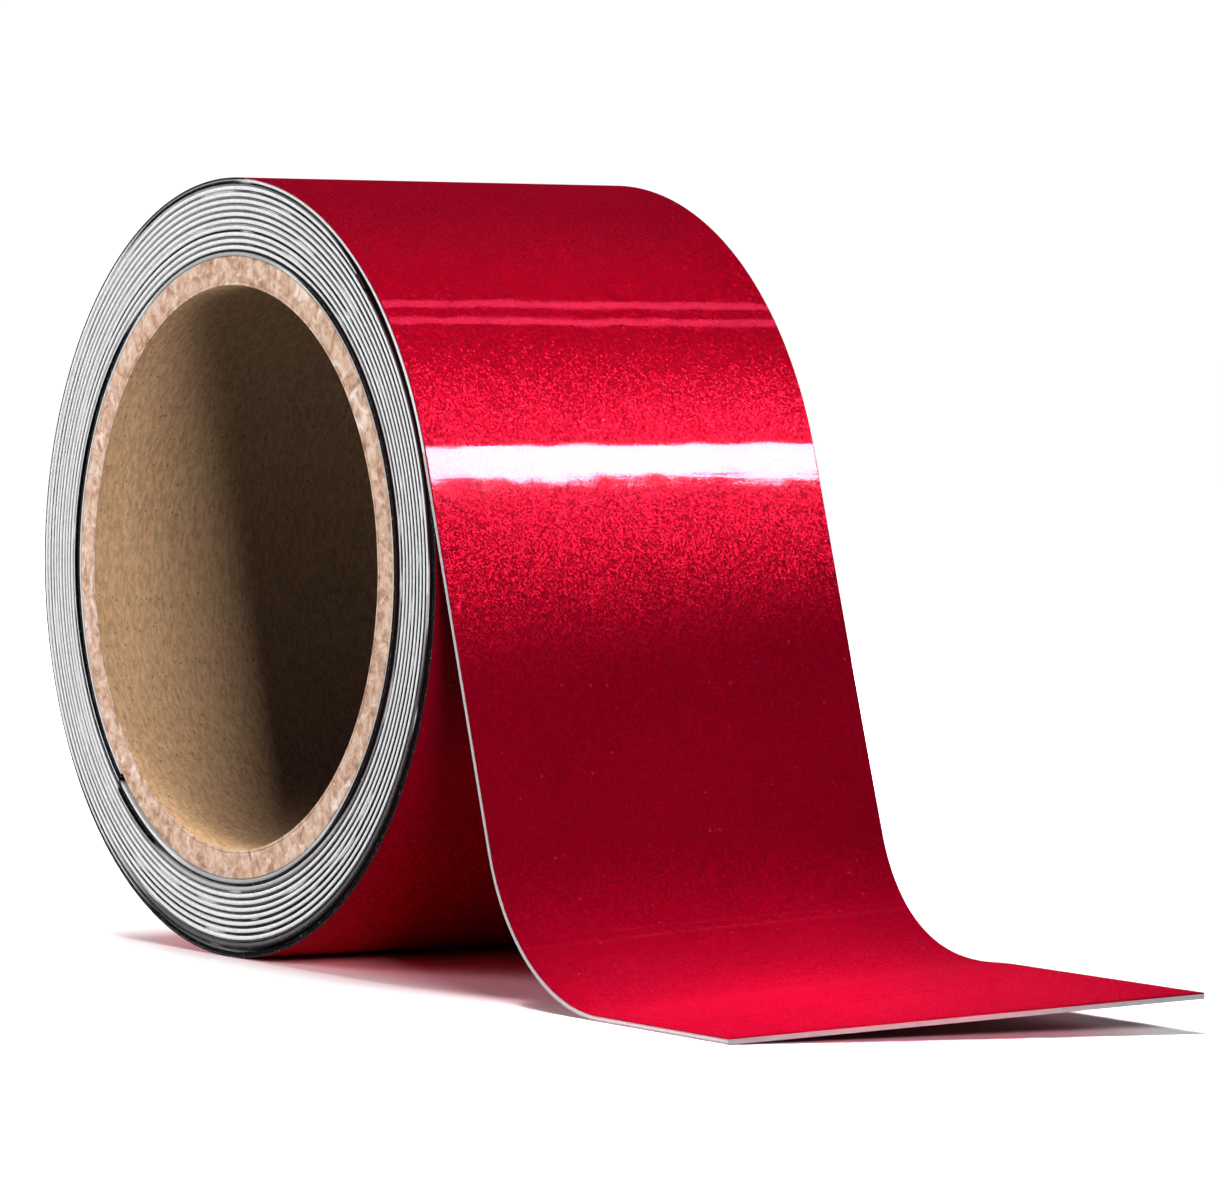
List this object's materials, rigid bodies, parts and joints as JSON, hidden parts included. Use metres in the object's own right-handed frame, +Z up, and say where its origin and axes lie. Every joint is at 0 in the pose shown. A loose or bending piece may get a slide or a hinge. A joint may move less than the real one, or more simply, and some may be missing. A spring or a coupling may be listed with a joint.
{
  "type": "roll of sign vinyl",
  "caption": "Short roll of glossy metallic red adhesive vinyl on a paperboard core, its free end pulled down over the front of the roll and laid flat.",
  "frame": {"origin": "middle of the core's bore", "axes": "+Y along the core's axis away from the near end face, +X towards the free end, +Z up from the table"},
  "size_m": [0.1886, 0.061, 0.1052],
  "materials": {
    "core_kraft": "smooth kraft paper, fine fibres and dark specks",
    "core_board": "cut paperboard edge, mottled fibres",
    "tape": "matt double-sided tape",
    "liner": "smooth coated release paper, satin",
    "adhesive": "dark pressure-sensitive adhesive, tacky gloss",
    "film": "metallic red vinyl film, fine flake under a clear gloss"
  },
  "bodies": {
    "web": {"outer_liner": "liner", "outer_adhesive": "adhesive", "outer_film": "film", "tail_liner": "liner", "tail_adhesive": "adhesive", "tail_film": "film"},
    "pack": {"core_inner_ply": "core_kraft", "core_body_ply_1": "core_board", "core_body_ply_2": "core_board", "core_body_ply_3": "core_board", "core_body_ply_4": "core_board", "core_outer_ply": "core_board", "start_tape": "tape", "pack_liner": "liner", "pack_adhesive": "adhesive", "pack_film": "film"},
    "free_end": {"end_liner": "liner", "end_adhesive": "adhesive", "end_film": "film"},
    "film_flap": {"flap_adhesive": "adhesive", "flap_film": "film"}
  },
  "joints": [
    {"name": "roll_turn", "type": "hinge", "parent": "web", "child": "pack", "pos_m": [0, 0, 0], "axis": [0, 1, 0], "continuous": true},
    {"name": "free_end_lift", "type": "hinge", "parent": "web", "child": "free_end", "pos_m": [0.10003, 0, -0.0518], "axis": [0, -1, 0], "range_deg": [0, 45]},
    {"name": "film_peel", "type": "hinge", "parent": "free_end", "child": "film_flap", "pos_m": [0.10803, 0, -0.0518], "axis": [0, -1, 0], "range_deg": [0, 120]}
  ]
}
